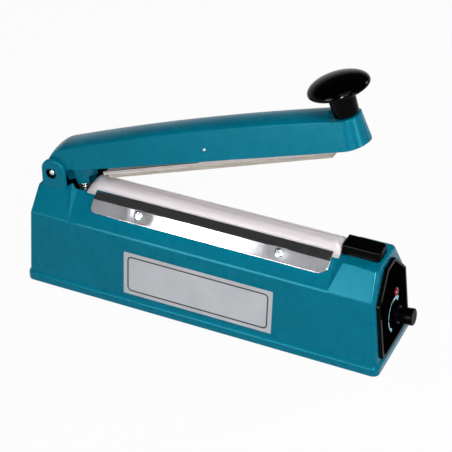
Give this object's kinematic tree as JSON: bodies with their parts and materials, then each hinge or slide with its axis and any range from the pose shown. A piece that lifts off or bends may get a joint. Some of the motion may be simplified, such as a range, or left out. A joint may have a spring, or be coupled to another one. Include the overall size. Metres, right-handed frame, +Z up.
{
  "type": "impulse sealer",
  "caption": "Hand-operated impulse sealer: a hinged arm with a knob presses a silicone strip onto a heated sealing bar, with a timer dial on the front of its tapered casing.",
  "frame": {"origin": "middle of the footprint, on the bench under the rubber feet", "axes": "+X from the hinge end to the control panel, +Y from the label side to the plain side, +Z up"},
  "size_m": [0.341, 0.08, 0.2447],
  "materials": {
    "casing": "glossy teal moulded plastic",
    "black_plastic": "glossy black moulded plastic",
    "plated_steel": "zinc-plated sheet steel",
    "steel": "bright plated steel",
    "core_steel": "varnished steel laminations",
    "aluminium": "polished sheet aluminium",
    "brass": "plain brass",
    "winding": "enamelled copper wire under tape",
    "insulation": "pressed laminate",
    "board": "circuit board laminate",
    "relay_plastic": "moulded relay case",
    "dial_plate": "black plastic sheet with a printed arc",
    "label": "blank silver-grey foil label with a printed border",
    "lamp_lens": "red translucent lens",
    "rubber": "black rubber",
    "silicone": "beige silicone rubber",
    "cloth": "non-stick coated glass cloth"
  },
  "bodies": {
    "base": {"base_casing": "casing", "bottom_plate": "plated_steel", "rubber_foot_1": "rubber", "rubber_foot_2": "rubber", "rubber_foot_3": "rubber", "rubber_foot_4": "rubber", "base_screw_1": "steel", "base_screw_2": "steel", "base_screw_3": "steel", "base_screw_4": "steel", "cord_gland": "rubber", "label_plate": "label", "hinge_pin": "steel", "sealing_bar": "insulation", "heating_element": "steel", "press_cloth": "cloth", "clamp_plate_near": "aluminium", "clamp_plate_far": "aluminium", "clamp_screw_near_1": "steel", "clamp_screw_near_2": "steel", "clamp_screw_far_1": "steel", "clamp_screw_far_2": "steel", "front_terminal": "brass", "rear_terminal": "brass", "terminal_cover": "black_plastic", "front_bezel": "black_plastic", "scale_plate": "dial_plate", "pilot_lamp": "lamp_lens", "timer_board": "board", "board_relay": "relay_plastic", "board_capacitor": "black_plastic", "timer_body": "plated_steel", "timer_nut": "steel", "transformer_core": "core_steel", "transformer_coil": "winding", "transformer_strap": "plated_steel", "strap_screw_1": "steel", "strap_screw_2": "steel", "micro_switch": "black_plastic", "return_spring": "steel"},
    "arm": {"arm_shell": "casing", "handle_knob": "black_plastic", "knob_bolt": "steel", "press_bar_pin": "steel"},
    "press_foot": {"press_bar": "aluminium", "silicone_strip": "silicone"},
    "lever": {"switch_lever": "steel"},
    "timer_dial": {"timer_knob": "black_plastic", "timer_shaft": "steel"}
  },
  "joints": [
    {"name": "arm_hinge", "type": "hinge", "parent": "base", "child": "arm", "pos_m": [-0.14682, 0, 0.1012], "axis": [0, 1, 0], "range_deg": [0, 15.15], "stiffness_Nm_per_rad": 1.5, "springref_deg": -20.05, "deforming": ["return_spring"]},
    {"name": "press_foot_rock", "type": "hinge", "parent": "arm", "child": "press_foot", "pos_m": [-0.0069, 0, 0.15882], "axis": [0, 1, 0], "range_deg": [0, 4.9]},
    {"name": "switch_lever_pivot", "type": "hinge", "parent": "base", "child": "lever", "pos_m": [-0.15132, 0.0084, 0.0846], "axis": [0, 1, 0], "range_deg": [0, 8.8]},
    {"name": "timer_turn", "type": "hinge", "parent": "base", "child": "timer_dial", "pos_m": [0.15028, 0, 0.03864], "axis": [0.9942, 0, 0.108], "range_deg": [-135, 135]}
  ],
  "couplings": [
    {"joint": "press_foot_rock", "follows": "arm_hinge", "ratio": 0.3221},
    {"joint": "switch_lever_pivot", "follows": "arm_hinge", "ratio": 0.58}
  ]
}
